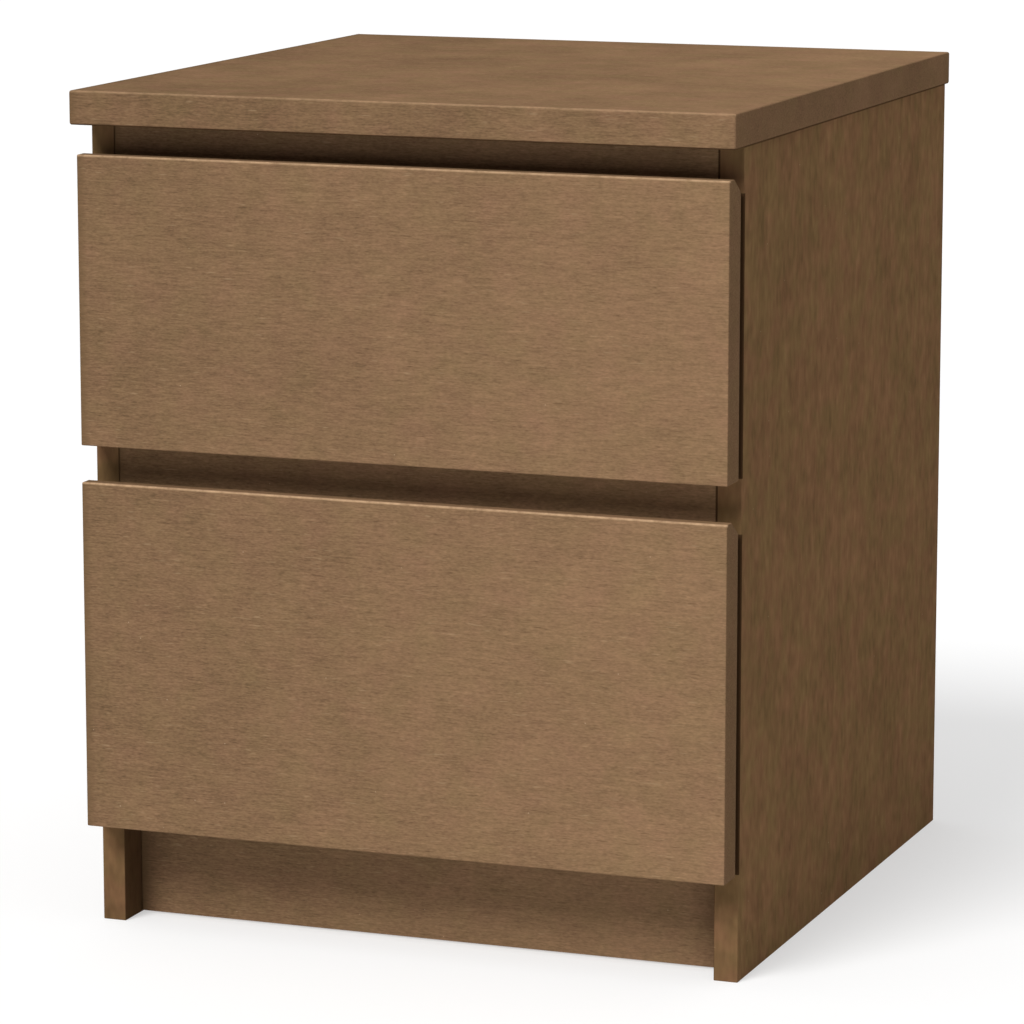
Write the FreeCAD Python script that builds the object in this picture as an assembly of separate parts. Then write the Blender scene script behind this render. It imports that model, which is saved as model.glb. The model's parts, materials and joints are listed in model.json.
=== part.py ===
import FreeCAD, Part

import math
import os

# Bedside chest with two drawers, in flat-pack board construction.
# Millimetres. The origin is the middle of the footprint on the floor. +Z is up, +X is to the right when
# facing the drawers, and the drawers open towards -Y.

# Carcase
TOTAL_HEIGHT = 550.0
TOP_WIDTH = 446.0
TOP_DEPTH = 480.0
TOP_THICKNESS = 22.0
BODY_WIDTH = 440.0
BOARD = 16.0
SIDE_SETBACK = 27.0
PLINTH_SETBACK = 25.0
PLINTH_HEIGHT = 80.0
REAR_RAIL_HEIGHT = 60.0
FLOOR_CLEARANCE = 1.0
FRONT_RAIL_HEIGHT = 50.0
TOP_ROUNDING = 1.6
BOARD_ROUNDING = 0.6

# Back panel, held in grooves
PANEL = 3.0
GROOVE_PLAY = 0.1
CARCASE_GROOVE_DEPTH = 6.0
PANEL_END_PLAY = 0.5
BACK_INSET = 9.0

# Drawer fronts, as heights above the floor
FRONT_WIDTH = 438.0
FRONT_THICKNESS = 22.0
FRONT_FACE_SETBACK = 2.0
UPPER_FRONT_SPAN = (321.0, 509.0)
LOWER_FRONT_SPAN = (69.0, 297.0)
FRONT_ROUNDING = 0.9
BEVEL_LAND = 9.5
BEVEL_DROP = 8.5

# Drawer boxes
DRAWER_TRAVEL = 300.0
DRAWER_SIDE = 12.0
RUNNER_SPACE = 12.5
BOX_LENGTH = 400.0
BOX_ABOVE_RUNNER = 4.0
UPPER_BOX_HEIGHT = 132.0
LOWER_BOX_HEIGHT = 174.0
BOTTOM_HEIGHT_IN_BOX = 10.0
BOX_GROOVE_DEPTH = 5.0
DRAWER_ROUNDING = 0.8

# Roller runners. u is a distance from a side panel's inner face towards the drawer.
STEEL = 1.2
RUNNER_LENGTH = 400.0
RUNNER_FRONT_GAP = 2.0
RUNNER_REAR_GAP = 1.0
RUNNER_ABOVE_RAIL = 2.0
RUNNER_ABOVE_PLINTH = 4.0
CHANNEL_HEIGHT = 22.2
CHANNEL_FLOOR_WIDTH = 10.8
CHANNEL_ROOF_WIDTH = 8.0
CHANNEL_LIP_HEIGHT = 3.0
RAIL_HEIGHT = 23.3
RAIL_OUTER_U = 4.0
RUNNER_FOLD_RADIUS = 1.1
STOP_TAB_HEIGHT = 3.5
STOP_TAB_THICKNESS = 1.2
STOP_GAP = 0.5
ROOF_BEHIND_ROLLER = 1.5

# Rollers and their rivets
ROLLER_RADIUS = 9.5
ROLLER_TRACK_GAP = 0.3
ROLLER_ROUNDING = 0.7
ROLLER_DISH_RADIUS = 7.6
ROLLER_DISH_DEPTH = 1.0
RIVET_RADIUS = 2.4
RIVET_RUNNING_GAP = 0.05
RIVET_HEAD_RADIUS = 3.8
RIVET_HEAD_HEIGHT = 0.9
RIVET_HEAD_GAP = 0.3
CABINET_ROLLER_U = (1.6, 9.2)
CABINET_ROLLER_FROM_END = 16.0
DRAWER_ROLLER_U = (3.9, 9.3)
RIVET_SHOULDER_RADIUS = 3.2

# Cam fittings, dowels and screws
CAM_RADIUS = 7.5
CAM_RECESS_DEPTH = 1.6
CAM_RECESS_WIDTH = 1.6
CAM_RECESS_LENGTH = 9.0
HOLE_PLAY = 0.1
HOLE_END_PLAY = 1.0
CASE_FITTING = {"board": BOARD, "bolt_length": 34.0, "cam_thickness": 12.5, "shank_radius": 3.0}
DRAWER_FITTING = {"board": DRAWER_SIDE, "bolt_length": 24.0, "cam_thickness": 9.5, "shank_radius": 2.4}
BOLT_NECK_INSET = 1.0
BOLT_NECK_LENGTH = 5.0
BOLT_HEAD_LENGTH = 2.5
BOLT_NECK_REDUCTION = 1.0
BOLT_SPACE = 0.5
BOLT_THREAD_RADIUS = 2.5
BOLT_THREAD_LENGTH = 11.0
DOWEL_RADIUS = 4.0
DOWEL_LENGTH = 30.0
DOWEL_IN_SIDE = 10.0
DOWEL_CHAMFER = 1.0
RAIL_CAM_DROP = 10.0
RAIL_DOWEL_RISE = 12.0
PLINTH_CAM_Z = 55.0
PLINTH_DOWEL_Z = 25.0
REAR_RAIL_CAM_Z = 42.0
REAR_RAIL_DOWEL_Z = 18.0
TOP_CAM_Y = (-150.0, 150.0)
TOP_DOWEL_Y = 60.0
DRAWER_FITTING_HEIGHTS = (0.33, 0.78)
SCREW_RADIUS = 1.75
PAN_HEAD_RADIUS = 3.4
PAN_HEAD_HEIGHT = 1.5
PAN_HEAD_ROUNDING = 0.9
PAN_RECESS = {"width": 0.8, "length": 3.6, "depth": 0.9}
PANEL_SCREW_LENGTH = 13.0
RUNNER_SCREW_LENGTH = 16.0
CARCASE_SCREW_Y = (-165.0, 0.0, 150.0)
DRAWER_SCREW_Y = (-180.0, -10.0, 150.0)
DRAWER_SCREW_INSET = 5.0
BACK_SCREW_LENGTH = 38.0
SCREW_TIP = 3.0
SCREW_TIP_RADIUS = 0.3
FLUSH_HEAD_RADIUS = 3.6
FLUSH_HEAD_DEPTH = 2.2
FLUSH_RECESS = {"width": 0.9, "length": 4.0, "depth": 1.1}
NAIL_RADIUS = 0.8
NAIL_HEAD_RADIUS = 2.0
NAIL_HEAD_HEIGHT = 0.6
NAIL_LENGTH = 18.0
NAIL_COUNT = 5
NAIL_PITCH = 85.0

# Anti-tip bracket, and the gap above the back panel that its wall screw passes through
BRACKET_WIDTH = 32.0
BRACKET_LEG = 30.0
BRACKET_STEEL = 2.5
BRACKET_HOLE_RADIUS = 3.0
BRACKET_HOLE_DROP = 18.0
BRACKET_SCREW_PITCH = 16.0
BRACKET_SCREW_FROM_BACK = 18.0
BACK_PANEL_DROP = 30.0

# Heights and depths that follow from the above
TOP_UNDERSIDE = TOTAL_HEIGHT - TOP_THICKNESS
HALF_INNER = BODY_WIDTH / 2 - BOARD
TOP_FRONT_Y = -TOP_DEPTH / 2
REAR_Y = TOP_DEPTH / 2
SIDE_FRONT_Y = TOP_FRONT_Y + SIDE_SETBACK
PLINTH_FACE_Y = SIDE_FRONT_Y + PLINTH_SETBACK
BACK_REAR_Y = REAR_Y - BACK_INSET
BACK_FRONT_Y = BACK_REAR_Y - PANEL
FRONT_FACE_Y = TOP_FRONT_Y + FRONT_FACE_SETBACK
BOX_FRONT_Y = FRONT_FACE_Y + FRONT_THICKNESS
BOX_REAR_Y = BOX_FRONT_Y + BOX_LENGTH
HALF_BOX = HALF_INNER - RUNNER_SPACE
HALF_BOX_INNER = HALF_BOX - DRAWER_SIDE
MIDDLE_GAP_Z = (LOWER_FRONT_SPAN[1] + UPPER_FRONT_SPAN[0]) / 2
MIDDLE_RAIL_TOP = MIDDLE_GAP_Z + FRONT_RAIL_HEIGHT / 2
RUNNER_FRONT_Y = SIDE_FRONT_Y + RUNNER_FRONT_GAP
RUNNER_REAR_Y = RUNNER_FRONT_Y + RUNNER_LENGTH
CABINET_ROLLER_Y = RUNNER_FRONT_Y + CABINET_ROLLER_FROM_END
DRAWER_ROLLER_Y = RUNNER_REAR_Y - STEEL - STOP_GAP - ROLLER_RADIUS
CHANNEL_FRONT_Y = CABINET_ROLLER_Y + ROLLER_RADIUS + ROOF_BEHIND_ROLLER

# name, height of the runners' undersides, drawer front, height of the drawer box
DRAWERS = (
    ("upper", MIDDLE_RAIL_TOP + RUNNER_ABOVE_RAIL, UPPER_FRONT_SPAN, UPPER_BOX_HEIGHT),
    ("lower", PLINTH_HEIGHT + RUNNER_ABOVE_PLINTH, LOWER_FRONT_SPAN, LOWER_BOX_HEIGHT),
)
SIDES = (("left", -1), ("right", 1))

# Smaller than any real distance here, for telling edges apart
FINE = 0.01

# How far a cutting tool runs on past an open face
PAST = 1.0

X = FreeCAD.Vector(1, 0, 0)
Y = FreeCAD.Vector(0, 1, 0)
Z = FreeCAD.Vector(0, 0, 1)

parts = {}


# ---------------------------------------------------------------- helpers

def put(node, solid):
    """Add a solid to a node. A node of several solids is a group of loose pieces."""
    parts.setdefault(node, []).append(solid)


def cut(node, tool):
    """Cut a tool out of every solid of a node."""
    parts[node] = [solid.cut(tool) for solid in parts[node]]


def box(x_span, y_span, z_span):
    low = FreeCAD.Vector(min(x_span), min(y_span), min(z_span))
    high = FreeCAD.Vector(max(x_span), max(y_span), max(z_span))
    size = high - low
    return Part.makeBox(size.x, size.y, size.z, low)


def board(x_span, y_span, z_span, rounding):
    """A panel whose edges are all slightly rounded."""
    solid = box(x_span, y_span, z_span)
    return solid.makeFillet(rounding, solid.Edges)


def rod(radius, start, length, direction):
    return Part.makeCylinder(radius, length, start, direction)


def placed(solid, point, z_axis, x_axis):
    """Move a solid made about the origin so that its Z and X point along the given directions."""
    turn = FreeCAD.Rotation(x_axis, z_axis.cross(x_axis), z_axis, "ZXY")
    moved = solid.copy()
    moved.Placement = FreeCAD.Placement(point, turn)
    return moved


def at(x, y, z):
    return FreeCAD.Vector(x, y, z)


def inboard(side, u_span, y_span, z_span):
    """A box that lies between two distances inboard of a side panel's inner face."""
    x_span = [side * (HALF_INNER - u) for u in u_span]
    return box(x_span, y_span, z_span)


def fused(pieces):
    """One solid from pieces that touch or overlap."""
    return pieces[0].multiFuse(pieces[1:]).removeSplitter()


def round_folds(solid, side, corners):
    """Round the long edges of a folded strip whose distance u and height z are in corners."""
    folds = []
    for edge in solid.Edges:
        middle = edge.BoundBox.Center
        spot = (HALF_INNER - side * middle.x, middle.z)
        is_fold = any(math.dist(spot, corner) < FINE for corner in corners)
        if is_fold and edge.BoundBox.YLength > RUNNER_LENGTH / 2:
            folds.append(edge)
    return solid.makeFillet(RUNNER_FOLD_RADIUS, folds)


def cross_recess(width, length, depth):
    """The cross-shaped driver recess cut down from the origin."""
    slot = (-width / 2, width / 2)
    reach = (-length / 2, length / 2)
    return box(slot, reach, (-depth, PAST)).fuse(box(reach, slot, (-depth, PAST)))


# ---------------------------------------------------------------- fasteners

def cam_bolt(fitting):
    """Bolt along +Z from the joint plane: thread below it, shank, neck and round head above."""
    length = fitting["bolt_length"]
    radius = fitting["shank_radius"]
    shank_end = length - BOLT_NECK_INSET - BOLT_NECK_LENGTH
    thread = rod(BOLT_THREAD_RADIUS, at(0, 0, -BOLT_THREAD_LENGTH), BOLT_THREAD_LENGTH, Z)
    shank = rod(radius, at(0, 0, 0), shank_end, Z)
    neck = rod(radius - BOLT_NECK_REDUCTION, at(0, 0, shank_end), BOLT_NECK_LENGTH, Z)
    head = rod(radius, at(0, 0, length - BOLT_NECK_INSET), BOLT_HEAD_LENGTH, Z)
    return fused([thread, shank, neck, head])


def cam_lock(fitting):
    """Cam disc flush with the face above it, open along -X for the bolt."""
    thickness = fitting["cam_thickness"]
    mouth_radius = fitting["shank_radius"] + BOLT_SPACE
    mouth_start = at(-CAM_RADIUS - PAST, 0, -fitting["board"] / 2)
    mouth_end = BOLT_HEAD_LENGTH - BOLT_NECK_INSET + BOLT_SPACE
    disc = rod(CAM_RADIUS, at(0, 0, -thickness), thickness, Z)
    mouth = rod(mouth_radius, mouth_start, PAST + CAM_RADIUS + mouth_end, X)
    recess = cross_recess(CAM_RECESS_WIDTH, CAM_RECESS_LENGTH, CAM_RECESS_DEPTH)
    return disc.cut(mouth).cut(recess)


def connect(group, panel, cam_board, joint_point, outwards, cam_face, fitting):
    """Cam fitting between a panel that takes the bolt's thread and a board that takes the cam.

    joint_point is on the joint plane, on the mid-plane of the cam board. cam_face points out of the face
    that the cam is pushed in from.
    """
    length = fitting["bolt_length"]
    cam_point = joint_point + outwards * length + cam_face * (fitting["board"] / 2)
    pocket_depth = fitting["cam_thickness"] + HOLE_PLAY
    put(group + "_cam_bolts", placed(cam_bolt(fitting), joint_point, outwards, cam_face))
    put(group + "_cam_locks", placed(cam_lock(fitting), cam_point, cam_face, outwards))
    thread_depth = BOLT_THREAD_LENGTH + HOLE_END_PLAY
    cut(panel, rod(BOLT_THREAD_RADIUS + HOLE_PLAY, joint_point, thread_depth, outwards * -1))
    cut(cam_board, rod(CAM_RADIUS + HOLE_PLAY, cam_point, pocket_depth, cam_face * -1))
    cut(cam_board, rod(fitting["shank_radius"] + BOLT_SPACE, joint_point, length, outwards))


def dowel_joint(panel, cam_board, joint_point, outwards):
    """Beech dowel with chamfered ends, across a joint between two boards."""
    start = joint_point - outwards * DOWEL_IN_SIDE
    pin = rod(DOWEL_RADIUS, at(0, 0, 0), DOWEL_LENGTH, Z)
    pin = pin.makeChamfer(DOWEL_CHAMFER, [edge for edge in pin.Edges if edge.Closed])
    put("wooden_dowels", placed(pin, start, outwards, Y))
    hole_radius = DOWEL_RADIUS + HOLE_PLAY
    cut(panel, rod(hole_radius, joint_point, DOWEL_IN_SIDE + HOLE_END_PLAY, outwards * -1))
    cut(cam_board, rod(hole_radius, joint_point, DOWEL_LENGTH - DOWEL_IN_SIDE + HOLE_END_PLAY, outwards))


def screw_shank(length):
    """Shank and pointed tip along -Z."""
    shank = rod(SCREW_RADIUS, at(0, 0, -length + SCREW_TIP), length - SCREW_TIP, Z)
    tip = Part.makeCone(SCREW_TIP_RADIUS, SCREW_RADIUS, SCREW_TIP, at(0, 0, -length), Z)
    return shank.fuse(tip)


def pan_screw(length):
    """Screw with its domed head above the origin and its shank along -Z."""
    head = rod(PAN_HEAD_RADIUS, at(0, 0, 0), PAN_HEAD_HEIGHT, Z)
    rim = [edge for edge in head.Edges if edge.BoundBox.ZMin > PAN_HEAD_HEIGHT - FINE]
    head = head.makeFillet(PAN_HEAD_ROUNDING, rim)
    recess = cross_recess(**PAN_RECESS)
    recess.translate(at(0, 0, PAN_HEAD_HEIGHT))
    return fused([head, screw_shank(length)]).cut(recess)


def flush_screw(length):
    """Countersunk screw, flush with the face at the origin, its shank along -Z."""
    head = Part.makeCone(SCREW_RADIUS, FLUSH_HEAD_RADIUS, FLUSH_HEAD_DEPTH, at(0, 0, -FLUSH_HEAD_DEPTH), Z)
    recess = cross_recess(**FLUSH_RECESS)
    return fused([head, screw_shank(length)]).cut(recess)


def countersink():
    """The mouth that a flush screw's head lies in, with a little play."""
    depth = FLUSH_HEAD_DEPTH + HOLE_PLAY
    narrow = SCREW_RADIUS + HOLE_PLAY
    wide = FLUSH_HEAD_RADIUS + HOLE_PLAY
    return Part.makeCone(narrow, wide, depth, at(0, 0, -depth), Z)


def drive_screw(node, point, outwards, length, through):
    """Pan-head screw at a point on a face, and its hole through the named nodes."""
    cross_axis = Y if outwards.x else X
    put(node, placed(pan_screw(length), point, outwards, cross_axis))
    depth = PAST + length + HOLE_END_PLAY
    hole = rod(SCREW_RADIUS + HOLE_PLAY, point + outwards * PAST, depth, outwards * -1)
    for target in through:
        cut(target, hole)


# ---------------------------------------------------------------- carcase

def make_top():
    width = (-TOP_WIDTH / 2, TOP_WIDTH / 2)
    put("top_panel", board(width, (TOP_FRONT_Y, REAR_Y), (TOP_UNDERSIDE, TOTAL_HEIGHT), TOP_ROUNDING))


def make_sides():
    for name, side in SIDES:
        x_span = (side * HALF_INNER, side * BODY_WIDTH / 2)
        panel = board(x_span, (SIDE_FRONT_Y, REAR_Y), (0, TOP_UNDERSIDE), BOARD_ROUNDING)
        put(name + "_side_panel", panel)


def make_rails():
    """The boards that span between the two side panels."""
    span = (-HALF_INNER, HALF_INNER)
    front = (SIDE_FRONT_Y, SIDE_FRONT_Y + BOARD)
    plinth = (PLINTH_FACE_Y, PLINTH_FACE_Y + BOARD)
    rear = (BACK_FRONT_Y - BOARD, BACK_FRONT_Y)
    top_rail_z = (TOP_UNDERSIDE - FRONT_RAIL_HEIGHT, TOP_UNDERSIDE)
    middle_rail_z = (MIDDLE_RAIL_TOP - FRONT_RAIL_HEIGHT, MIDDLE_RAIL_TOP)
    put("top_front_rail", board(span, front, top_rail_z, BOARD_ROUNDING))
    put("middle_front_rail", board(span, front, middle_rail_z, BOARD_ROUNDING))
    put("plinth_board", board(span, plinth, (FLOOR_CLEARANCE, PLINTH_HEIGHT), BOARD_ROUNDING))
    put("rear_bottom_rail", board(span, rear, (FLOOR_CLEARANCE, REAR_RAIL_HEIGHT), BOARD_ROUNDING))


def make_back_panel():
    """Thin panel in grooves of the side panels, nailed to the rear rail. It ends below the top."""
    groove_half = HALF_INNER + CARCASE_GROOVE_DEPTH
    panel_half = groove_half - PANEL_END_PLAY
    panel_top = TOP_UNDERSIDE - BACK_PANEL_DROP
    panel = box((-panel_half, panel_half), (BACK_FRONT_Y, BACK_REAR_Y), (2 * FLOOR_CLEARANCE, panel_top))
    put("back_panel", panel)
    groove_y = (BACK_FRONT_Y - GROOVE_PLAY, BACK_REAR_Y + GROOVE_PLAY)
    groove = box((-groove_half, groove_half), groove_y, (-PAST, TOP_UNDERSIDE + PAST))
    for node in ("left_side_panel", "right_side_panel"):
        cut(node, groove)


def nail_back_panel():
    height = REAR_RAIL_HEIGHT / 2
    for index in range(NAIL_COUNT):
        x = (index - (NAIL_COUNT - 1) / 2) * NAIL_PITCH
        face = at(x, BACK_REAR_Y, height)
        shank = rod(NAIL_RADIUS, face, NAIL_LENGTH, Y * -1)
        head = rod(NAIL_HEAD_RADIUS, face, NAIL_HEAD_HEIGHT, Y)
        put("back_panel_nails", fused([shank, head]))
        hole = rod(NAIL_RADIUS + HOLE_PLAY / 2, face + Y * PAST, PAST + NAIL_LENGTH + HOLE_END_PLAY, Y * -1)
        cut("back_panel", hole)
        cut("rear_bottom_rail", hole)


def join_rails():
    """One cam fitting and one dowel at each end of every rail."""
    mid_front = SIDE_FRONT_Y + BOARD / 2
    mid_plinth = PLINTH_FACE_Y + BOARD / 2
    mid_rear = BACK_FRONT_Y - BOARD / 2
    top_rail = TOP_UNDERSIDE - FRONT_RAIL_HEIGHT / 2
    rails = (
        ("top_front_rail", mid_front, top_rail - RAIL_CAM_DROP, top_rail + RAIL_DOWEL_RISE, Y),
        ("middle_front_rail", mid_front, MIDDLE_GAP_Z - RAIL_CAM_DROP, MIDDLE_GAP_Z + RAIL_DOWEL_RISE, Y),
        ("plinth_board", mid_plinth, PLINTH_CAM_Z, PLINTH_DOWEL_Z, Y),
        ("rear_bottom_rail", mid_rear, REAR_RAIL_CAM_Z, REAR_RAIL_DOWEL_Z, Y * -1),
    )
    for name, side in SIDES:
        panel = name + "_side_panel"
        inwards = X * -side
        for rail, y, bolt_z, dowel_z, cam_face in rails:
            bolt_point = at(side * HALF_INNER, y, bolt_z)
            dowel_point = at(side * HALF_INNER, y, dowel_z)
            connect("carcase", panel, rail, bolt_point, inwards, cam_face, CASE_FITTING)
            dowel_joint(panel, rail, dowel_point, inwards)


def join_top():
    """Two cam fittings and one dowel between the top and each side panel."""
    for name, side in SIDES:
        panel = name + "_side_panel"
        x = side * (HALF_INNER + BOARD / 2)
        for y in TOP_CAM_Y:
            point = at(x, y, TOP_UNDERSIDE)
            connect("carcase", "top_panel", panel, point, Z * -1, X * -side, CASE_FITTING)
        dowel_joint("top_panel", panel, at(x, TOP_DOWEL_Y, TOP_UNDERSIDE), Z * -1)


def make_bracket():
    """L-shaped bracket under the top at the back. A screw above the back panel ties it to the wall."""
    width = (-BRACKET_WIDTH / 2, BRACKET_WIDTH / 2)
    leg_y = (BACK_FRONT_Y - BRACKET_LEG, BACK_FRONT_Y)
    leg_z = (TOP_UNDERSIDE - BRACKET_LEG, TOP_UNDERSIDE)
    under_top = box(width, leg_y, (TOP_UNDERSIDE - BRACKET_STEEL, TOP_UNDERSIDE))
    upright = box(width, (BACK_FRONT_Y - BRACKET_STEEL, BACK_FRONT_Y), leg_z)
    bracket = fused([under_top, upright])
    hole_z = TOP_UNDERSIDE - BRACKET_HOLE_DROP
    hole_start = at(0, BACK_FRONT_Y - BRACKET_STEEL - PAST, hole_z)
    wall_hole = rod(BRACKET_HOLE_RADIUS, hole_start, PAST + BRACKET_STEEL + PAST, Y)
    put("anti_tip_bracket", bracket.cut(wall_hole))
    for x in (-BRACKET_SCREW_PITCH / 2, BRACKET_SCREW_PITCH / 2):
        point = at(x, BACK_FRONT_Y - BRACKET_SCREW_FROM_BACK, TOP_UNDERSIDE - BRACKET_STEEL)
        targets = ("anti_tip_bracket", "top_panel")
        drive_screw("anti_tip_bracket_screws", point, Z * -1, PANEL_SCREW_LENGTH, targets)


# ---------------------------------------------------------------- runners

def cabinet_runner(side, base_z):
    """Channel on the side panel: wall, floor with a lip, roof, and two tabs that stop the drawer's roller."""
    length = (RUNNER_FRONT_Y, RUNNER_REAR_Y)
    behind_roller = (CHANNEL_FRONT_Y, RUNNER_REAR_Y)
    roof_z = base_z + CHANNEL_HEIGHT
    wall = inboard(side, (0, STEEL), length, (base_z, roof_z))
    floor = inboard(side, (0, CHANNEL_FLOOR_WIDTH), length, (base_z, base_z + STEEL))
    lip_z = (base_z, base_z + STEEL + CHANNEL_LIP_HEIGHT)
    lip = inboard(side, (CHANNEL_FLOOR_WIDTH - STEEL, CHANNEL_FLOOR_WIDTH), behind_roller, lip_z)
    roof = inboard(side, (0, CHANNEL_ROOF_WIDTH), behind_roller, (roof_z - STEEL, roof_z))
    rear_tab_y = (RUNNER_REAR_Y - STOP_TAB_THICKNESS, RUNNER_REAR_Y)
    rear_tab = inboard(side, (0, CHANNEL_ROOF_WIDTH), rear_tab_y, (base_z, roof_z))
    front_tab_end = DRAWER_ROLLER_Y - DRAWER_TRAVEL - ROLLER_RADIUS - STOP_GAP
    front_tab_y = (front_tab_end - STOP_TAB_THICKNESS, front_tab_end)
    front_tab_z = (roof_z - STEEL - STOP_TAB_HEIGHT, roof_z - STEEL)
    front_tab = inboard(side, (0, CHANNEL_ROOF_WIDTH), front_tab_y, front_tab_z)
    runner = fused([wall, floor, lip, roof, rear_tab, front_tab])
    runner = round_folds(runner, side, [(0, base_z), (0, roof_z)])
    return runner.cut(roller_rivet_hole(side, CABINET_ROLLER_Y, cabinet_roller_z(base_z)))


def drawer_runner(side, base_z):
    """Angle under the drawer side, with the outward rail that rides on the cabinet's roller."""
    box_z = base_z + BOX_ABOVE_RUNNER
    length = (BOX_FRONT_Y + RUNNER_FRONT_GAP, RUNNER_REAR_Y - RUNNER_REAR_GAP)
    rail_z = base_z + RAIL_HEIGHT
    wall_u = (RUNNER_SPACE - STEEL, RUNNER_SPACE)
    wall = inboard(side, wall_u, length, (box_z - STEEL, rail_z + STEEL))
    foot = inboard(side, (RUNNER_SPACE - STEEL, RUNNER_SPACE + DRAWER_SIDE), length, (box_z - STEEL, box_z))
    rail = inboard(side, (RAIL_OUTER_U, RUNNER_SPACE), length, (rail_z, rail_z + STEEL))
    runner = fused([wall, foot, rail])
    runner = round_folds(runner, side, [(RUNNER_SPACE - STEEL, box_z - STEEL)])
    return runner.cut(roller_rivet_hole(side, DRAWER_ROLLER_Y, drawer_roller_z(base_z)))


def cabinet_roller_z(base_z):
    return base_z + RAIL_HEIGHT - ROLLER_TRACK_GAP - ROLLER_RADIUS


def drawer_roller_z(base_z):
    return base_z + STEEL + ROLLER_TRACK_GAP + ROLLER_RADIUS


def roller_rivet_hole(side, y, z):
    """Hole for a rivet across the whole runner space."""
    start = at(side * HALF_INNER, y, z)
    return rod(RIVET_RADIUS + RIVET_RUNNING_GAP, start, RUNNER_SPACE, X * -side)


def roller(radius, width):
    """Nylon wheel along +Z with a rounded tread, a bore, and a dish above that takes the rivet's head."""
    wheel = rod(radius, at(0, 0, 0), width, Z)
    wheel = wheel.makeFillet(ROLLER_ROUNDING, [edge for edge in wheel.Edges if edge.Closed])
    bore = rod(RIVET_RADIUS + RIVET_RUNNING_GAP, at(0, 0, -PAST), PAST + width + PAST, Z)
    dish = rod(ROLLER_DISH_RADIUS, at(0, 0, width - ROLLER_DISH_DEPTH), ROLLER_DISH_DEPTH + PAST, Z)
    return wheel.cut(bore).cut(dish)


def cabinet_roller(side, base_z):
    """Front roller on the cabinet runner, its dish towards the drawer."""
    start_u, end_u = CABINET_ROLLER_U
    point = at(side * (HALF_INNER - start_u), CABINET_ROLLER_Y, cabinet_roller_z(base_z))
    return placed(roller(ROLLER_RADIUS, end_u - start_u), point, X * -side, Y)


def drawer_roller(side, base_z):
    """Rear roller on the drawer runner, its dish towards the side panel."""
    start_u, end_u = DRAWER_ROLLER_U
    point = at(side * (HALF_INNER - end_u), DRAWER_ROLLER_Y, drawer_roller_z(base_z))
    return placed(roller(ROLLER_RADIUS, end_u - start_u), point, X * side, Y)


def rivet(total, shoulder):
    """Rivet along +Z from the sheet's hidden face: shank, a shoulder next to the sheet, and a flat head."""
    shank = rod(RIVET_RADIUS, at(0, 0, 0), total, Z)
    head = rod(RIVET_HEAD_RADIUS, at(0, 0, total - RIVET_HEAD_HEIGHT), RIVET_HEAD_HEIGHT, Z)
    pieces = [shank, head]
    if shoulder > 0:
        pieces.append(rod(RIVET_SHOULDER_RADIUS, at(0, 0, STEEL), shoulder, Z))
    return fused(pieces)


def cabinet_rivet(side, base_z):
    head_top = CABINET_ROLLER_U[1] - ROLLER_DISH_DEPTH + RIVET_HEAD_GAP + RIVET_HEAD_HEIGHT
    point = at(side * HALF_INNER, CABINET_ROLLER_Y, cabinet_roller_z(base_z))
    return placed(rivet(head_top, 0), point, X * -side, Y)


def drawer_rivet(side, base_z):
    head_top_u = DRAWER_ROLLER_U[0] + ROLLER_DISH_DEPTH - RIVET_HEAD_GAP - RIVET_HEAD_HEIGHT
    shoulder = RUNNER_SPACE - STEEL - DRAWER_ROLLER_U[1] - RIVET_HEAD_GAP
    point = at(side * (HALF_INNER - RUNNER_SPACE), DRAWER_ROLLER_Y, drawer_roller_z(base_z))
    return placed(rivet(RUNNER_SPACE - head_top_u, shoulder), point, X * side, Y)


def make_runners():
    """Runners, rollers, rivets and screws of both drawers, on both sides."""
    for level, base_z, _, _ in DRAWERS:
        for name, side in SIDES:
            fixed = f"cabinet_runner_{level}_{name}"
            moving = f"{level}_drawer_{name}_runner"
            put(fixed, cabinet_runner(side, base_z))
            put(moving, drawer_runner(side, base_z))
            put(f"cabinet_roller_{level}_{name}", cabinet_roller(side, base_z))
            put(f"{level}_drawer_{name}_roller", drawer_roller(side, base_z))
            put("cabinet_roller_rivets", cabinet_rivet(side, base_z))
            put(f"{level}_drawer_roller_rivets", drawer_rivet(side, base_z))
            screw_z = drawer_roller_z(base_z)
            for y in CARCASE_SCREW_Y:
                point = at(side * (HALF_INNER - STEEL), y, screw_z)
                targets = (fixed, name + "_side_panel")
                drive_screw("cabinet_runner_screws", point, X * -side, PANEL_SCREW_LENGTH, targets)
            screw_x = side * (HALF_BOX - DRAWER_SCREW_INSET)
            for y in DRAWER_SCREW_Y:
                point = at(screw_x, y, base_z + BOX_ABOVE_RUNNER - STEEL)
                targets = (moving, f"{level}_drawer_{name}_side")
                drive_screw(level + "_drawer_runner_screws", point, Z * -1, RUNNER_SCREW_LENGTH, targets)


# ---------------------------------------------------------------- drawers

def drawer_front(z_span):
    """Front board whose upper rear edge is bevelled into a finger pull."""
    low, high = z_span
    outline = [
        at(0, FRONT_FACE_Y, low),
        at(0, BOX_FRONT_Y, low),
        at(0, BOX_FRONT_Y, high - BEVEL_DROP),
        at(0, FRONT_FACE_Y + BEVEL_LAND, high),
        at(0, FRONT_FACE_Y, high),
    ]
    face = Part.Face(Part.makePolygon(outline + outline[:1]))
    face.translate(X * (-FRONT_WIDTH / 2))
    solid = face.extrude(X * FRONT_WIDTH)
    return solid.makeFillet(FRONT_ROUNDING, solid.Edges)


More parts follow.
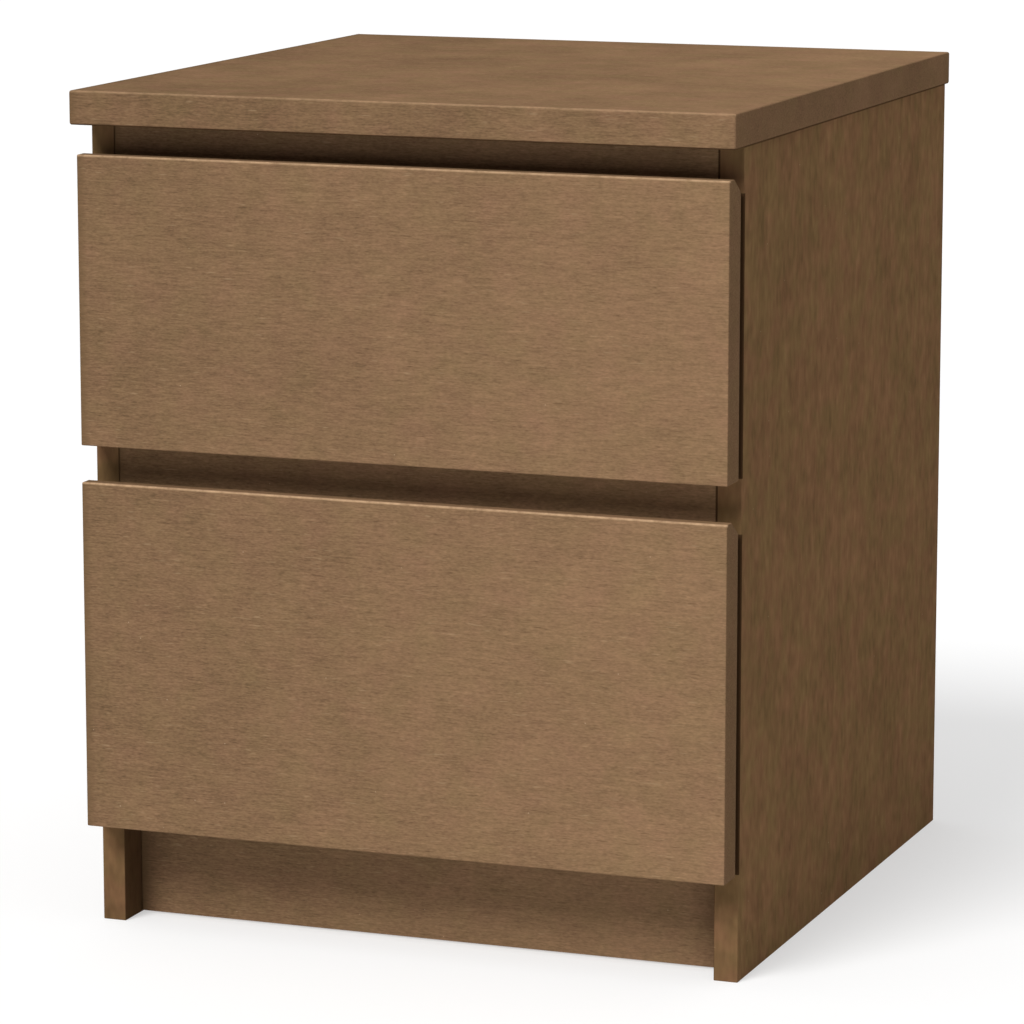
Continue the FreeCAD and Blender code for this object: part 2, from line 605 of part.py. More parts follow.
def make_drawer(level, base_z, front_span, height):
    """The five boards of one drawer box, with the grooves that hold its bottom."""
    prefix = level + "_drawer_"
    low = base_z + BOX_ABOVE_RUNNER
    z_span = (low, low + height)
    put(prefix + "front", drawer_front(front_span))
    for name, side in SIDES:
        x_span = (side * HALF_BOX_INNER, side * HALF_BOX)
        put(f"{prefix}{name}_side", board(x_span, (BOX_FRONT_Y, BOX_REAR_Y), z_span, DRAWER_ROUNDING))
    back_x = (-HALF_BOX_INNER, HALF_BOX_INNER)
    put(prefix + "back", board(back_x, (BOX_REAR_Y - DRAWER_SIDE, BOX_REAR_Y), z_span, DRAWER_ROUNDING))
    bottom_z = low + BOTTOM_HEIGHT_IN_BOX
    groove_half = HALF_BOX_INNER + BOX_GROOVE_DEPTH
    groove_y = (BOX_FRONT_Y - BOX_GROOVE_DEPTH, BOX_REAR_Y - DRAWER_SIDE + BOX_GROOVE_DEPTH)
    panel_half = groove_half - PANEL_END_PLAY
    panel_y = (groove_y[0] + PANEL_END_PLAY, groove_y[1] - PANEL_END_PLAY)
    put(prefix + "bottom", box((-panel_half, panel_half), panel_y, (bottom_z, bottom_z + PANEL)))
    groove_z = (bottom_z - GROOVE_PLAY, bottom_z + PANEL + GROOVE_PLAY)
    groove = box((-groove_half, groove_half), groove_y, groove_z)
    for board_name in ("front", "left_side", "right_side", "back"):
        cut(prefix + board_name, groove)


def join_drawer(level, base_z, height):
    """Cam fittings between front and sides, and screws through the sides into the back."""
    prefix = level + "_drawer_"
    low = base_z + BOX_ABOVE_RUNNER
    heights = [low + height * share for share in DRAWER_FITTING_HEIGHTS]
    for name, side in SIDES:
        side_board = f"{prefix}{name}_side"
        for z in heights:
            point = at(side * (HALF_BOX - DRAWER_SIDE / 2), BOX_FRONT_Y, z)
            connect(level + "_drawer", prefix + "front", side_board, point, Y, X * side, DRAWER_FITTING)
            face = at(side * HALF_BOX, BOX_REAR_Y - DRAWER_SIDE / 2, z)
            put(prefix + "back_screws", placed(flush_screw(BACK_SCREW_LENGTH), face, X * side, Y))
            hole = rod(SCREW_RADIUS + HOLE_PLAY, face, BACK_SCREW_LENGTH + HOLE_END_PLAY, X * -side)
            cut(side_board, hole)
            cut(side_board, placed(countersink(), face, X * side, Y))
            cut(prefix + "back", hole)


# ---------------------------------------------------------------- model

def write_parts():
    os.makedirs("parts", exist_ok=True)
    for node, solids in parts.items():
        shape = solids[0] if len(solids) == 1 else Part.makeCompound(solids)
        shape.exportStep(f"parts/{node}.step")


make_top()
make_sides()
make_rails()
make_back_panel()
nail_back_panel()
join_rails()
join_top()
make_bracket()
for drawer_level, drawer_base, drawer_span, drawer_height in DRAWERS:
    make_drawer(drawer_level, drawer_base, drawer_span, drawer_height)
    join_drawer(drawer_level, drawer_base, drawer_height)
make_runners()
write_parts()
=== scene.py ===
import json
import math

import bpy
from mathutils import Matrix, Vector


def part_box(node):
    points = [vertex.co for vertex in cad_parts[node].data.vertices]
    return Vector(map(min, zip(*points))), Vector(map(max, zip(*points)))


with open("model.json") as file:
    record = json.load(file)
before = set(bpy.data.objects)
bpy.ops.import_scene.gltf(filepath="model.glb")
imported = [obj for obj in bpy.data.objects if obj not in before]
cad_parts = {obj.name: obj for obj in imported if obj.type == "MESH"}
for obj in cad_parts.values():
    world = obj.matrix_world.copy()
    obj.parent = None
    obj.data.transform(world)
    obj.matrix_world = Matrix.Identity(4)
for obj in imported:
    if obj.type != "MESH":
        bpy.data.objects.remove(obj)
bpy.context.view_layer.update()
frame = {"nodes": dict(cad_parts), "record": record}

# A two-drawer bedside chest of brown stained boards. Metres, +Z up, the drawer fronts face -Y.

NODES = frame["nodes"]
MM = 0.001

# Camera: the chest seen from the front right, a little from above.
CAMERA_AZIMUTH = 20.67
CAMERA_PITCH = 10.28
CAMERA_PLACE = (1.1147, -2.9865, 0.8292)
FOCAL_LENGTH_IN_FRAMES = 4.6739
SENSOR_WIDTH = 36.0

# Stain colours, linear.
FACE_STAINS = ((0.198, 0.1240, 0.0635), (0.214, 0.1215, 0.0690))
# The side panels' stains are darker than the fronts': painted shade of the side faces.
SHADED_SIDE_STAINS = ((0.188, 0.1130, 0.0505), (0.206, 0.1100, 0.0545))
# Dark stain for the grain's dashes and the fibreboard's flecks, also used as painted shade.
DARK_STAIN_AND_SHADE = (0.050, 0.026, 0.012)
# Painted shade at the boards' left ends.
STAIN_SHADED_END = (0.134, 0.0815, 0.0405)
STAIN_LIGHT = (0.340, 0.230, 0.130)
# Lighter edge colour: wear, and on the veneer's upper front edges partly a painted highlight.
WORN_AND_HIGHLIT_EDGE = (0.500, 0.325, 0.190)
SPECK = (0.480, 0.350, 0.230)

# The other finishes' colours, linear. A pair is blended by a noise pattern.
FOIL_TONES = ((0.150, 0.094, 0.056), (0.178, 0.114, 0.068))
FIBREBOARD_TONES = ((0.225, 0.140, 0.078), (0.262, 0.168, 0.096))
STEEL_TONES = ((0.60, 0.59, 0.56), (0.66, 0.65, 0.62))
STEEL_RUBBED = (0.36, 0.35, 0.34)
NYLON_TONES = ((0.74, 0.73, 0.68), (0.82, 0.81, 0.77))
PLATING_TONES = ((0.72, 0.72, 0.73), (0.60, 0.61, 0.64))
CASTING_TONES = ((0.52, 0.52, 0.53), (0.42, 0.42, 0.44))
BEECH_TONES = ((0.50, 0.33, 0.18), (0.62, 0.44, 0.27))
BEECH_FLECK = (0.32, 0.18, 0.09)
FLOOR_TONES = ((0.450, 0.450, 0.452), (0.470, 0.470, 0.467))

# The part of a noise pattern, about its middle, over which one colour turns into another
BLEND = (0.35, 0.65)

# Specular levels. The veneer is matt: a bright floor would otherwise grey it at flat angles.
VENEER_SPECULAR = 0.0
FOIL_SPECULAR = 0.15
FIBREBOARD_SPECULAR = 0.12

# Bumps: (strength, how far the highest point stands out in metres)
VENEER_BUMP = (0.2, 0.12 * MM)
FOIL_BUMP = (0.12, 0.1 * MM)
FIBREBOARD_BUMP = (0.3, 0.1 * MM)
STEEL_BUMP = (0.12, 0.1 * MM)
NYLON_BUMP = (0.15, 0.05 * MM)
ZINC_BUMP = (0.2, 0.05 * MM)
BEECH_BUMP = (0.2, 0.1 * MM)

# Darker and lighter zones of a board, most of them painted shade: (solid distance from the face, fade,
# amount)
# Painted shade at the joints between boards
SEAM_SHADE = (0.6 * MM, 0.7 * MM, 0.92)
# Painted shade on the end faces
END_FACE_SHADE = (0.3 * MM, 0.2 * MM, 0.30)
# Painted shade at the left ends
SHADED_END = (1.5 * MM, 5.0 * MM, 0.60)
LIP = (0.3 * MM, 0.2 * MM, 0.13)
# Painted shade on the side panels' inner faces
INSIDE_SHADE = (0.3 * MM, 0.2 * MM, 0.75)
# Painted shade in the plinth's corners
SHADED_CORNER = (0.0, 24.0 * MM, 0.45)
# Wear along the upper front edge, partly a painted highlight
WEAR_AND_HIGHLIGHT_BELOW_TOP = (0.6 * MM, 0.9 * MM, 1.0)
WEAR_AND_HIGHLIGHT_BEHIND_FACE = (1.2 * MM, 1.6 * MM, 1.0)
# Painted shade on the side panels' front corners behind the drawer fronts
STRIP_BEHIND_EDGE = (1.2 * MM, 1.2 * MM, 0.97)
STRIP_FROM_OUTSIDE = (2.0 * MM, 1.0 * MM, 1.0)

# Where the shaded strip on the side panels stops, inward from the lower and upper end of a drawer front
STRIP_ABOVE_LOWER_END = 1.0 * MM
STRIP_BELOW_UPPER_END = 10.0 * MM

# Painted shade: the boards get lighter from left to right. x of the two ends, and brightness there
SHADE_GRADIENT_ENDS = (-0.22, 0.22)
SHADE_GRADIENT_BRIGHTNESS = (0.91, 1.12)

# Cells per metre of the veneer's patterns that run the same in all directions
CLOUD_CELLS = 15.0
HUE_CELLS = 42.0
SPECK_CELLS = 60.0
RAGGED_CELLS = 150.0

# Dashes: cells per metre along and across the grain, and the noise values between which they fade in
DASH_CELLS = (90.0, 900.0)
LIGHT_DASHES = (0.68, 0.80)
DARK_DASHES = (0.32, 0.20)
LIGHT_DASH_AMOUNT = 0.4
DARK_DASH_AMOUNT = 0.3

# Specks: distances from a cell's middle between which they fade in, in cells, and their amount
SPECK_RIM = (0.028, 0.018)
SPECK_AMOUNT = 0.55

# Hue patches: how far from the noise's middle the stain has changed fully, at a hue contrast of 1
HUE_REACH = 0.15

# The worn edge, partly a painted highlight: noise values between which it gets ragged, and the share of it
# left at the least
RAGGED_RIM = (0.30, 0.62)
LEAST_WEAR_AND_HIGHLIGHT = 0.3

# Roughness about which the veneer's varies
VENEER_ROUGHNESS = 0.55

# How far each next piece's pattern is shifted, so that no two pieces look the same
VENEER_STEP = (1.7, 2.3, 3.1)
FOIL_STEP = (0.9, 1.3, 2.1)
FIBREBOARD_STEP = (1.1, 1.9, 0.7)

# Light from the surroundings, and the floor's own glow, as shares of full white
AMBIENT = 0.1
FLOOR_GLOW = 0.50

# Half the floor's width, and its pattern's cells per metre
FLOOR_REACH = 60.0
FLOOR_CELLS = 0.8

# Far lights: (direction towards the light, its width in degrees, strength)
KEY_LIGHT = ((-0.211, -0.649, 0.731), 24.0, 2.67)
OVERHEAD_LIGHT = ((-0.05, 0.0, 1.0), 90.0, 1.40)

# How a veneered board looks, by where it is.
# A streak is (cells per metre along the grain, cells per metre across it, contrast).
# cloud is the contrast of wide patches, hue that of patches of another stain, and dashes that of the dashes.
FACE_LOOK = {
    "streaks": (
        (420.0, 1300.0, 0.56),
        (260.0, 1100.0, 0.48),
        (110.0, 1000.0, 0.40),
        (50.0, 900.0, 0.30),
        (150.0, 520.0, 0.12),
        (50.0, 380.0, 0.10),
        (90.0, 170.0, 0.11),
        (36.0, 90.0, 0.16),
    ),
    "base_tones": FACE_STAINS,
    "cloud": 0.30,
    "hue": 0.45,
    "dashes": 1.25,
    "brightness": 1.0,
}
TOP_LOOK = dict(FACE_LOOK, cloud=0.65, hue=0.6, brightness=0.98)
SIDE_LOOK = {
    "streaks": (
        (110.0, 320.0, 0.34),
        (70.0, 150.0, 0.36),
        (80.0, 90.0, 0.34),
        (25.0, 60.0, 0.26),
        (12.0, 24.0, 0.16),
    ),
    "base_tones": SHADED_SIDE_STAINS,
    "cloud": 0.30,
    "hue": 1.2,
    "dashes": 0.3,
    # Lower than the fronts': painted shade of the side faces
    "brightness": 0.87,
}


# ---------------------------------------------------------------- node helpers

AXES = "XYZ"


class Graph:
    """Short calls for building one material's nodes."""

    def __init__(self, name):
        self.material = bpy.data.materials.new(name)
        self.material.use_nodes = True
        self.tree = self.material.node_tree
        self.tree.nodes.clear()
        self.shader = self.node("ShaderNodeBsdfPrincipled")
        output = self.node("ShaderNodeOutputMaterial")
        self.link(self.shader.outputs["BSDF"], output.inputs["Surface"])
        self.place = self.node("ShaderNodeTexCoord").outputs["Object"]

    def node(self, kind, **settings):
        made = self.tree.nodes.new(kind)
        for key, value in settings.items():
            setattr(made, key, value)
        return made

    def link(self, source, target):
        self.tree.links.new(source, target)

    def fill(self, socket, value):
        """Connect a socket, or set its value."""
        if isinstance(value, bpy.types.NodeSocket):
            self.link(value, socket)
        elif hasattr(value, "__len__") and len(socket.default_value) == 4:
            socket.default_value = (*value, 1.0)
        else:
            socket.default_value = value

    def stretched(self, scale, shift=(0.0, 0.0, 0.0)):
        """The piece's own coordinates, scaled along each axis and shifted."""
        mapping = self.node("ShaderNodeMapping")
        mapping.inputs["Scale"].default_value = scale
        mapping.inputs["Location"].default_value = shift
        self.link(self.place, mapping.inputs["Vector"])
        return mapping.outputs["Vector"]

    def noise(self, vector, detail=2.0, roughness=0.5):
        """Noise with one cell per unit of the vector."""
        made = self.node("ShaderNodeTexNoise")
        self.link(vector, made.inputs["Vector"])
        made.inputs["Scale"].default_value = 1.0
        made.inputs["Detail"].default_value = detail
        made.inputs["Roughness"].default_value = roughness
        return made.outputs["Fac"]

    def range(self, value, low, high, to_low=0.0, to_high=1.0):
        """Carry low...high over to to_low...to_high, and stay at their ends beyond them."""
        made = self.node("ShaderNodeMapRange")
        self.link(value, made.inputs["Value"])
        made.inputs["From Min"].default_value = low
        made.inputs["From Max"].default_value = high
        made.inputs["To Min"].default_value = to_low
        made.inputs["To Max"].default_value = to_high
        return made.outputs["Result"]

    def math(self, operation, first, second=0.0):
        made = self.node("ShaderNodeMath", operation=operation)
        self.fill(made.inputs[0], first)
        self.fill(made.inputs[1], second)
        return made.outputs["Value"]

    def add_up(self, terms):
        """Sum of (value, weight), each value taken about its middle, one half."""
        total = None
        for value, weight in terms:
            term = self.math("MULTIPLY", self.math("SUBTRACT", value, 0.5), weight)
            total = term if total is None else self.math("ADD", total, term)
        return total

    def vary(self, middle, *terms):
        """A value that the (value, weight) terms move about its middle."""
        return self.math("ADD", self.add_up(terms), middle)

    def mix(self, factor, first, second):
        """The first colour where the factor is 0, the second where it is 1."""
        made = self.node("ShaderNodeMix", data_type="RGBA")
        self.fill(made.inputs["Factor"], factor)
        colours = [socket for socket in made.inputs if socket.type == "RGBA"]
        self.fill(colours[0], first)
        self.fill(colours[1], second)
        return [socket for socket in made.outputs if socket.type == "RGBA"][0]

    def blend(self, pattern, tones):
        """Two colours, blended by a noise pattern."""
        return self.mix(self.range(pattern, *BLEND), *tones)

    def brighten(self, colour, factor):
        made = self.node("ShaderNodeVectorMath", operation="SCALE")
        self.link(colour, made.inputs[0])
        self.fill(made.inputs["Scale"], factor)
        return made.outputs["Vector"]

    def bump(self, height, strength, distance):
        made = self.node("ShaderNodeBump")
        made.inputs["Strength"].default_value = strength
        made.inputs["Distance"].default_value = distance
        self.link(height, made.inputs["Height"])
        self.link(made.outputs["Normal"], self.shader.inputs["Normal"])

    def coordinates(self):
        """The piece's own coordinates, one output for each of X, Y and Z."""
        split = self.node("ShaderNodeSeparateXYZ")
        self.link(self.place, split.inputs["Vector"])
        return split.outputs

    def distances(self, low, high):
        """Distance from each pair of opposite faces of a box, one value per axis."""
        split = self.coordinates()
        found = []
        for index, axis in enumerate(AXES):
            from_low = self.math("SUBTRACT", split[axis], low[index])
            from_high = self.math("SUBTRACT", high[index], split[axis])
            found.append(self.math("MINIMUM", from_low, from_high))
        return found

    def edge_distance(self, low, high):
        """On a box's surface, the distance to the nearest edge."""
        x, y, z = self.distances(low, high)
        nearer = self.math("MINIMUM", x, y)
        farther = self.math("MAXIMUM", x, y)
        return self.math("MAXIMUM", nearer, self.math("MINIMUM", farther, z))

    def finish(self, colour, roughness, metallic=0.0):
        self.fill(self.shader.inputs["Base Color"], colour)
        self.fill(self.shader.inputs["Roughness"], roughness)
        self.shader.inputs["Metallic"].default_value = metallic
        return self.material


def even(cells):
    """Noise scale that is the same along all axes."""
    return (cells, cells, cells)


def shifted(seed, step):
    """Where a piece's pattern is taken from."""
    return tuple(seed * length for length in step)


def grain_scale(axis, along, across):
    """Noise scale that is low along the grain and high across it."""
    return tuple(along if name == axis else across for name in AXES)


def dress(node, material):
    """Give a CAD node a material."""
    slots = NODES[node].data.materials
    slots.clear()
    slots.append(material)


# ---------------------------------------------------------------- materials

def near_face(g, node, face, zone):
    """Mask of a zone next to a face, such as "-y", of the node's box: its amount there, fading to 0."""
    solid, fade, amount = zone
    low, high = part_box(node)
    index = AXES.lower().index(face[1])
    place = g.coordinates()[AXES[index]]
    if face[0] == "+":
        distance = g.math("SUBTRACT", high[index], place)
    else:
        distance = g.math("SUBTRACT", place, low[index])
    return g.range(distance, solid, solid + fade, to_low=amount, to_high=0.0)


def behind_fronts(g, node):
    """Mask along a side panel's outer front corner, where a closed drawer front shades it."""
    height = g.coordinates()["Z"]
    covered = 0.0
    for front in ("upper_drawer_front", "lower_drawer_front"):
        low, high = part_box(front)
        above = g.math("GREATER_THAN", height, low.z + STRIP_ABOVE_LOWER_END)
        below = g.math("LESS_THAN", height, high.z - STRIP_BELOW_UPPER_END)
        covered = g.math("ADD", covered, g.math("MULTIPLY", above, below))
    outer_face = "-x" if node.startswith("left") else "+x"
    at_edge = near_face(g, node, "-y", STRIP_BEHIND_EDGE)
    at_outside = near_face(g, node, outer_face, STRIP_FROM_OUTSIDE)
    return g.math("MULTIPLY", covered, g.math("MULTIPLY", at_edge, at_outside))


def worn_and_highlit_edge(g, node, shift, wear_and_highlight):
    """Ragged mask along a board's upper front edge: wear where hands have rubbed the stain away, and partly
    a painted highlight.
    """
    ragged = g.noise(g.stretched(even(RAGGED_CELLS), shift), detail=4.0, roughness=0.7)
    strength = g.range(ragged, *RAGGED_RIM, to_low=LEAST_WEAR_AND_HIGHLIGHT * wear_and_highlight, to_high=wear_and_highlight)
    corner = g.math("MULTIPLY", near_face(g, node, "+z", WEAR_AND_HIGHLIGHT_BELOW_TOP), strength)
    return g.math("MULTIPLY", near_face(g, node, "-y", WEAR_AND_HIGHLIGHT_BEHIND_FACE), corner)


def stain_with_shade_gradient(g, grain, shift, look):
    """The board's colour before wear and painted seam shade, lighter to the right as painted shade; the
    streaks it is made of, the clouds and the dashes.
    """
    streaks = []
    for along, across, contrast in look["streaks"]:
        vector = g.stretched(grain_scale(grain, along, across), shift)
        streaks.append((g.noise(vector, detail=1.0), contrast))
    cloud = g.noise(g.stretched(even(CLOUD_CELLS), shift), detail=4.0, roughness=0.6)
    hue = g.noise(g.stretched(even(HUE_CELLS), shift[::-1]), detail=2.0, roughness=0.6)
    reach = HUE_REACH / look["hue"]
    base = g.mix(g.range(hue, 0.5 - reach, 0.5 + reach), *look["base_tones"])
    # Painted shade: the boards get lighter from left to right
    dimmer, brighter = (look["brightness"] * share for share in SHADE_GRADIENT_BRIGHTNESS)
    shade_gradient = g.range(g.coordinates()["X"], *SHADE_GRADIENT_ENDS, to_low=dimmer, to_high=brighter)
    light = g.add_up(streaks + [(cloud, look["cloud"])])
    colour = g.brighten(base, g.math("ADD", light, shade_gradient))
    dashes = g.noise(g.stretched(grain_scale(grain, *DASH_CELLS), shift[::-1]), detail=1.0)
    light_dashes = g.range(dashes, *LIGHT_DASHES, to_high=LIGHT_DASH_AMOUNT * look["dashes"])
    dark_dashes = g.range(dashes, *DARK_DASHES, to_high=DARK_DASH_AMOUNT * look["dashes"])
    colour = g.mix(light_dashes, colour, STAIN_LIGHT)
    colour = g.mix(dark_dashes, colour, DARK_STAIN_AND_SHADE)
    return colour, streaks, cloud, dashes


def veneer(node, grain, seed, look, wear_and_highlight, dark_faces):
    """Brown stained fine-grained veneer, with light specks, a worn front edge that is partly a painted
    highlight, and painted shade at its seams, ends and other darker zones.
    """
    g = Graph("veneer_" + node)
    shift = shifted(seed, VENEER_STEP)
    colour, streaks, cloud, dashes = stain_with_shade_gradient(g, grain, shift, look)
    specks = g.node("ShaderNodeTexVoronoi")
    g.link(g.stretched(even(SPECK_CELLS), shift), specks.inputs["Vector"])
    specks.inputs["Scale"].default_value = 1.0
    speckled = g.range(specks.outputs["Distance"], *SPECK_RIM, to_high=SPECK_AMOUNT)
    colour = g.mix(speckled, colour, SPECK)
    # Darker zones by the faces, mostly painted shade at seams, end faces, inner faces and corners
    for face, zone in dark_faces:
        colour = g.mix(near_face(g, node, face, zone), colour, DARK_STAIN_AND_SHADE)
    # Painted shade on the side panels' front corners behind the drawer fronts
    if node.endswith("side_panel"):
        colour = g.mix(behind_fronts(g, node), colour, DARK_STAIN_AND_SHADE)
    else:
        # Painted shade at the board's left end
        colour = g.mix(near_face(g, node, "-x", SHADED_END), colour, STAIN_SHADED_END)
    # Worn upper front edge, partly a painted highlight
    if wear_and_highlight:
        colour = g.mix(worn_and_highlit_edge(g, node, shift, wear_and_highlight), colour, WORN_AND_HIGHLIT_EDGE)
    g.bump(g.add_up(streaks + [(dashes, 0.6)]), *VENEER_BUMP)
    g.shader.inputs["Specular IOR Level"].default_value = VENEER_SPECULAR
    roughness = g.vary(VENEER_ROUGHNESS, *streaks[:2], (cloud, 0.15))
    return g.finish(colour, roughness)


def foil(node, grain, seed):
    """Printed brown foil on the drawer boxes: an even, smoother wood print."""
    g = Graph("foil_" + node)
    shift = shifted(seed, FOIL_STEP)
    fine = g.noise(g.stretched(grain_scale(grain, along=20.0, across=520.0), shift), detail=2.0)
    streak = g.noise(g.stretched(grain_scale(grain, along=5.0, across=130.0), shift), detail=2.0)
    colour = g.brighten(g.blend(streak, FOIL_TONES), g.vary(1.0, (fine, 0.35)))
    edge = g.edge_distance(*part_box(node))
    rubbed = g.range(edge, 0.1 * MM, 0.9 * MM, to_low=0.30, to_high=0.0)
    colour = g.mix(rubbed, colour, WORN_AND_HIGHLIT_EDGE)
    g.bump(fine, *FOIL_BUMP)
    g.shader.inputs["Specular IOR Level"].default_value = FOIL_SPECULAR
    return g.finish(colour, g.vary(0.45, (fine, 0.15)))


def fibreboard(node, seed):
    """Thin hardboard: short matted fibres with darker and lighter specks."""
    g = Graph("fibreboard_" + node)
    shift = shifted(seed, FIBREBOARD_STEP)
    fibres = g.noise(g.stretched(even(cells=420.0), shift), detail=4.0, roughness=0.75)
    cloud = g.noise(g.stretched(even(cells=18.0), shift), detail=3.0)
    flecks = g.noise(g.stretched(even(cells=900.0), shift), detail=1.0)
    brightness = g.vary(1.0, (fibres, 0.55), (flecks, 0.3))
    colour = g.brighten(g.blend(cloud, FIBREBOARD_TONES), brightness)
    flecked = g.range(flecks, 0.68, 0.80, to_high=0.5)
    colour = g.mix(flecked, colour, DARK_STAIN_AND_SHADE)
    g.bump(fibres, *FIBREBOARD_BUMP)
    g.shader.inputs["Specular IOR Level"].default_value = FIBREBOARD_SPECULAR
    return g.finish(colour, g.vary(0.62, (fibres, 0.2)))


def coated_steel():
    """Light grey epoxy coating with a faint orange peel and rub marks along the runner."""
    g = Graph("coated_steel")
    peel = g.noise(g.stretched(even(cells=700.0)), detail=1.0)
    rub = g.noise(g.stretched(scale=(300.0, 12.0, 600.0)), detail=3.0, roughness=0.7)
    cloud = g.noise(g.stretched(even(cells=40.0)), detail=2.0)
    rubbed = g.range(rub, 0.62, 0.78, to_high=0.5)
    colour = g.mix(rubbed, g.blend(cloud, STEEL_TONES), STEEL_RUBBED)
    g.bump(peel, *STEEL_BUMP)
    return g.finish(colour, g.range(rub, 0.3, 0.7, to_low=0.30, to_high=0.45))


def nylon():
    """Natural nylon with mould texture."""
    g = Graph("nylon")
    grit = g.noise(g.stretched(even(cells=1500.0)), detail=2.0)
    cloud = g.noise(g.stretched(even(cells=120.0)), detail=2.0)
    g.bump(grit, *NYLON_BUMP)
    roughness = g.range(grit, 0.3, 0.7, to_low=0.38, to_high=0.55)
    return g.finish(g.blend(cloud, NYLON_TONES), roughness)


def zinc(name, tones, smoothest, roughest):
    """Zinc: plating or casting, clouded and slightly scratched."""
    g = Graph(name)
    cloud = g.noise(g.stretched(even(cells=240.0)), detail=3.0)
    scratches = g.noise(g.stretched(scale=(2200.0, 160.0, 2200.0)), detail=2.0)
    g.bump(scratches, *ZINC_BUMP)
    roughness = g.range(scratches, *BLEND, to_low=smoothest, to_high=roughest)
    return g.finish(g.blend(cloud, tones), roughness, metallic=1.0)


def beech():
    """Pale beech with its short darker flecks."""
    g = Graph("beech")
    fine = g.noise(g.stretched(scale=(60.0, 900.0, 900.0)), detail=3.0)
    flecks = g.noise(g.stretched(scale=(150.0, 1500.0, 700.0)), detail=1.0)
    flecked = g.range(flecks, 0.62, 0.75, to_high=0.6)
    colour = g.mix(flecked, g.blend(fine, BEECH_TONES), BEECH_FLECK)
    g.bump(fine, *BEECH_BUMP)
    return g.finish(colour, g.range(fine, 0.3, 0.7, to_low=0.5, to_high=0.65))


def dress_chest():
    """Every CAD node gets its finish."""
    seam_shades = (("-x", SEAM_SHADE), ("+x", SEAM_SHADE))
    end_face_shades = (("-x", END_FACE_SHADE), ("+x", END_FACE_SHADE))
    corners = (("-x", SHADED_CORNER), ("+x", SHADED_CORNER))
    side = (("+z", SEAM_SHADE), ("-y", LIP))
    # Each board: node, grain axis, look, wear and painted highlight of its upper front edge, darker zones
    # (mostly painted shade)
    boards = (
        ("top_panel", "X", TOP_LOOK, 0.30, end_face_shades + (("-z", SEAM_SHADE), ("-y", LIP))),
        ("left_side_panel", "Z", SIDE_LOOK, 0.0, side + (("+x", INSIDE_SHADE),)),
        ("right_side_panel", "Z", SIDE_LOOK, 0.0, side + (("-x", INSIDE_SHADE),)),
        ("top_front_rail", "X", FACE_LOOK, 0.0, seam_shades),
        ("middle_front_rail", "X", FACE_LOOK, 0.0, seam_shades),
        ("plinth_board", "X", FACE_LOOK, 0.0, seam_shades + corners),
        ("rear_bottom_rail", "X", FACE_LOOK, 0.0, seam_shades),
        ("upper_drawer_front", "X", FACE_LOOK, 0.85, end_face_shades),
        ("lower_drawer_front", "X", FACE_LOOK, 1.0, end_face_shades),
    )
    for seed, (node, grain, look, wear_and_highlight, dark_faces) in enumerate(boards, start=1):
        dress(node, veneer(node, grain, seed, look, wear_and_highlight, dark_faces))
    finishes = {
        "coated_steel": coated_steel(),
        "nylon": nylon(),
        "zinc_plated_steel": zinc("zinc_plating", PLATING_TONES, smoothest=0.22, roughest=0.38),
        "zinc_casting": zinc("zinc_casting", CASTING_TONES, smoothest=0.42, roughest=0.58),
        "beech": beech(),
    }
    for seed, entry in enumerate(frame["record"]["subparts"]):
        node, slot = entry["node"], entry["material_slot"]
        if slot == "drawer_foil":
            dress(node, foil(node, "X" if node.endswith("back") else "Y", seed))
        elif slot == "fibreboard":
            dress(node, fibreboard(node, seed))
        elif slot in finishes:
            dress(node, finishes[slot])


# ---------------------------------------------------------------- surroundings

def make_floor():
    """Wide pale floor, which isn't part of the object."""
    far = FLOOR_REACH
    corners = [(-far, -far, 0.0), (far, -far, 0.0), (far, far, 0.0), (-far, far, 0.0)]
    mesh = bpy.data.meshes.new("floor")
    mesh.from_pydata(corners, [], [(0, 1, 2, 3)])
    floor = bpy.data.objects.new("floor", mesh)
    bpy.context.scene.collection.objects.link(floor)
    g = Graph("floor")
    mottling = g.noise(g.stretched(even(FLOOR_CELLS)), detail=2.0)
    colour = g.mix(g.range(mottling, 0.3, 0.7), *FLOOR_TONES)
    g.shader.inputs["Emission Color"].default_value = (1.0, 1.0, 1.0, 1.0)
    g.shader.inputs["Emission Strength"].default_value = FLOOR_GLOW
    mesh.materials.append(g.finish(colour, 0.9))


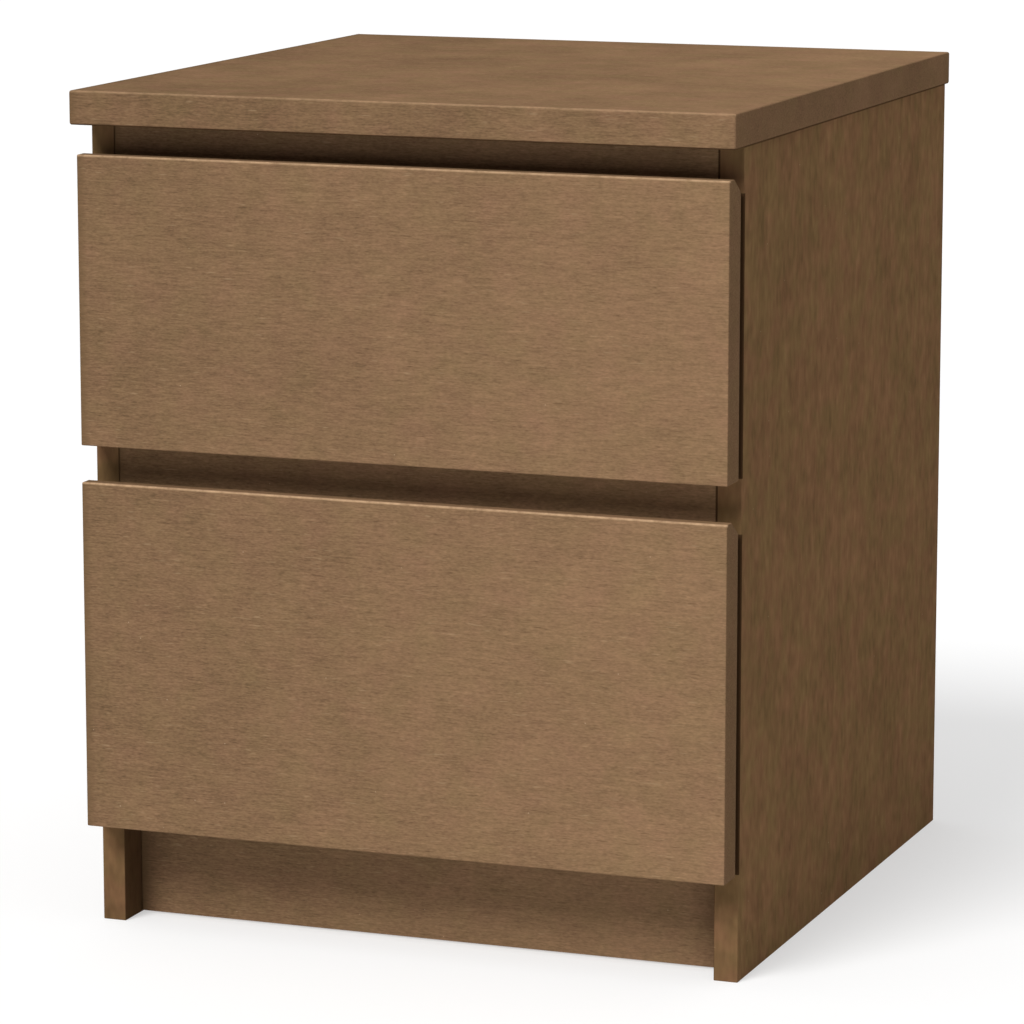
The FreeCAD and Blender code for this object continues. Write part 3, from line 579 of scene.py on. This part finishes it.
def make_world():
    """White surroundings for the eye, dimmer as a light so that the faces keep their shading."""
    world = bpy.data.worlds.new("studio")
    world.use_nodes = True
    bpy.context.scene.world = world
    tree = world.node_tree
    tree.nodes.clear()
    shown, lighting = (tree.nodes.new("ShaderNodeBackground") for _ in range(2))
    shown.inputs["Strength"].default_value = 1.0
    lighting.inputs["Strength"].default_value = AMBIENT
    for background in (shown, lighting):
        background.inputs["Color"].default_value = (1.0, 1.0, 1.0, 1.0)
    rays = tree.nodes.new("ShaderNodeLightPath")
    choose = tree.nodes.new("ShaderNodeMixShader")
    output = tree.nodes.new("ShaderNodeOutputWorld")
    tree.links.new(rays.outputs["Is Camera Ray"], choose.inputs["Fac"])
    tree.links.new(lighting.outputs["Background"], choose.inputs[1])
    tree.links.new(shown.outputs["Background"], choose.inputs[2])
    tree.links.new(choose.outputs["Shader"], output.inputs["Surface"])


def make_light(name, direction, width, strength):
    """Soft light from far away, so that the floor is lit evenly."""
    lamp = bpy.data.lights.new(name, "SUN")
    lamp.energy = strength
    lamp.angle = math.radians(width)
    made = bpy.data.objects.new(name, lamp)
    bpy.context.scene.collection.objects.link(made)
    made.rotation_mode = "QUATERNION"
    made.rotation_quaternion = Vector(direction).to_track_quat("Z", "Y")


def make_camera():
    """Camera at the photo's angle, level sideways and pitched down."""
    azimuth = math.radians(CAMERA_AZIMUTH)
    pitch = math.radians(CAMERA_PITCH)
    forward = Vector((
        -math.sin(azimuth) * math.cos(pitch),
        math.cos(azimuth) * math.cos(pitch),
        -math.sin(pitch),
    ))
    data = bpy.data.cameras.new("camera")
    data.sensor_width = SENSOR_WIDTH
    data.lens = FOCAL_LENGTH_IN_FRAMES * SENSOR_WIDTH
    camera = bpy.data.objects.new("camera", data)
    bpy.context.scene.collection.objects.link(camera)
    camera.location = CAMERA_PLACE
    camera.rotation_mode = "QUATERNION"
    camera.rotation_quaternion = forward.to_track_quat("-Z", "Y")
    bpy.context.scene.camera = camera


dress_chest()
make_floor()
make_world()
make_light("key", *KEY_LIGHT)
make_light("overhead", *OVERHEAD_LIGHT)
make_camera()
bpy.context.scene.view_settings.view_transform = "Standard"
